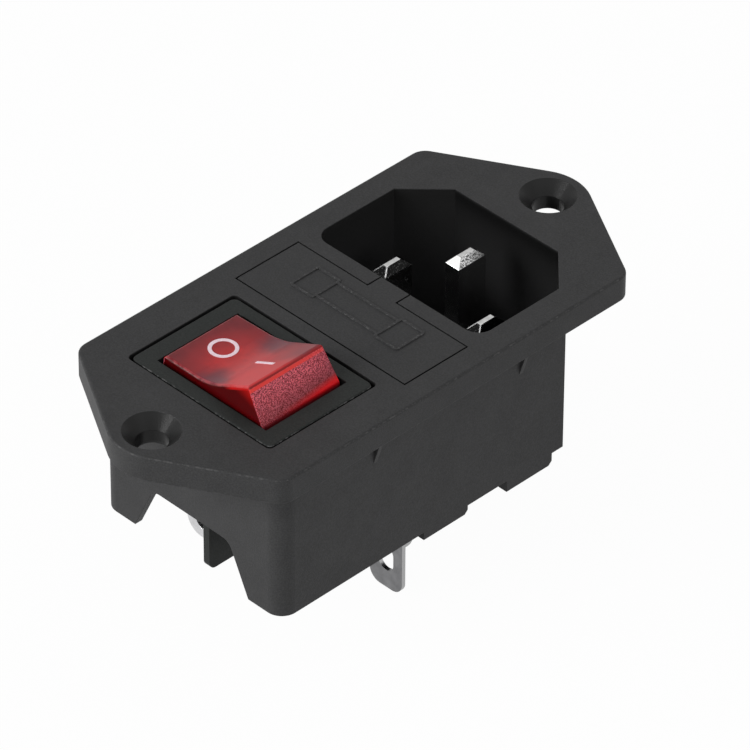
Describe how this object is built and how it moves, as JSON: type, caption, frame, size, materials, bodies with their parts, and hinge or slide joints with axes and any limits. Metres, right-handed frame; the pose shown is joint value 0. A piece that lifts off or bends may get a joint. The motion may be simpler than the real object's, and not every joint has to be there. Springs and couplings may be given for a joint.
{
  "type": "power entry module",
  "caption": "Panel power entry module: flanged black housing with a C14 inlet, a pull-out fuse drawer and a lit red rocker switch, with solder tabs behind.",
  "frame": {"origin": "midway between the two screw holes, on the panel plane under the flange", "axes": "+Z out of the panel, +Y from the switch towards the inlet, X across the module"},
  "size_m": [0.031, 0.066, 0.0322],
  "materials": {
    "housing_plastic": "fine moulded texture, matte black",
    "bezel_plastic": "fine moulded texture, matte black",
    "drawer_plastic": "fine moulded texture, matte black",
    "rocker_red": "translucent red, lightly frosted",
    "pin_metal": "nickel plated, satin",
    "tab_metal": "tin plated sheet",
    "lamp_glass": "clear glass, neon filled",
    "resistor_body": "lacquered",
    "lead_wire": "tinned wire",
    "fuse_glass": "clear glass",
    "cap_metal": "nickel plated",
    "plunger_brass": "turned",
    "spring_steel": "drawn wire",
    "lever_brass": "rolled strip",
    "contact_silver": "silver rivet"
  },
  "bodies": {
    "module": {"housing": "housing_plastic", "switch_case": "bezel_plastic", "line_pin": "pin_metal", "neutral_pin": "pin_metal", "earth_pin": "pin_metal", "fuse_outlet_clip": "tab_metal", "fuse_inlet_clip": "tab_metal", "common_terminal_near": "tab_metal", "fixed_terminal_near": "tab_metal", "fixed_contact_near": "contact_silver", "common_terminal_far": "tab_metal", "fixed_terminal_far": "tab_metal", "fixed_contact_far": "contact_silver"},
    "rocker": {"rocker": "rocker_red", "neon_lamp": "lamp_glass", "lamp_resistor": "resistor_body", "lamp_lead_near": "lead_wire", "lamp_lead_link": "lead_wire", "lamp_lead_far": "lead_wire", "plunger_spring_near": "spring_steel", "plunger_spring_far": "spring_steel"},
    "plunger_near": {"plunger_near": "plunger_brass"},
    "plunger_far": {"plunger_far": "plunger_brass"},
    "lever_near": {"contact_lever_near": "lever_brass", "lever_contact_near": "contact_silver"},
    "lever_far": {"contact_lever_far": "lever_brass", "lever_contact_far": "contact_silver"},
    "drawer": {"fuse_drawer": "drawer_plastic", "fuse_tube": "fuse_glass", "fuse_cap_left": "cap_metal", "fuse_cap_right": "cap_metal", "fuse_wire": "lead_wire", "spare_tube": "fuse_glass", "spare_cap_left": "cap_metal", "spare_cap_right": "cap_metal", "spare_wire": "lead_wire"}
  },
  "joints": [
    {"name": "rocker_hinge", "type": "hinge", "parent": "module", "child": "rocker", "pos_m": [0, -0.01472, -0.00075], "axis": [0, 1, 0], "range_deg": [0, 27]},
    {"name": "lever_near_hinge", "type": "hinge", "parent": "module", "child": "lever_near", "pos_m": [0, -0.01767, -0.00636], "axis": [0, 1, 0], "range_deg": [-16, 0]},
    {"name": "lever_far_hinge", "type": "hinge", "parent": "module", "child": "lever_far", "pos_m": [0, -0.01177, -0.00636], "axis": [0, 1, 0], "range_deg": [-16, 0]},
    {"name": "plunger_near_slide", "type": "slide", "parent": "rocker", "child": "plunger_near", "axis": [-0.2334, 0, 0.9724], "range_m": [0, 0.0006], "stiffness_N_per_m": 200, "springref_m": -0.002, "deforming": ["plunger_spring_near"]},
    {"name": "plunger_far_slide", "type": "slide", "parent": "rocker", "child": "plunger_far", "axis": [-0.2334, 0, 0.9724], "range_m": [0, 0.0006], "stiffness_N_per_m": 200, "springref_m": -0.002, "deforming": ["plunger_spring_far"]},
    {"name": "drawer_slide", "type": "slide", "parent": "module", "child": "drawer", "axis": [0, 0, 1], "range_m": [0, 0.017]}
  ],
  "couplings": [
    {"joint": "lever_near_hinge", "follows": "rocker_hinge", "ratio": -0.5925},
    {"joint": "lever_far_hinge", "follows": "rocker_hinge", "ratio": -0.5925}
  ]
}
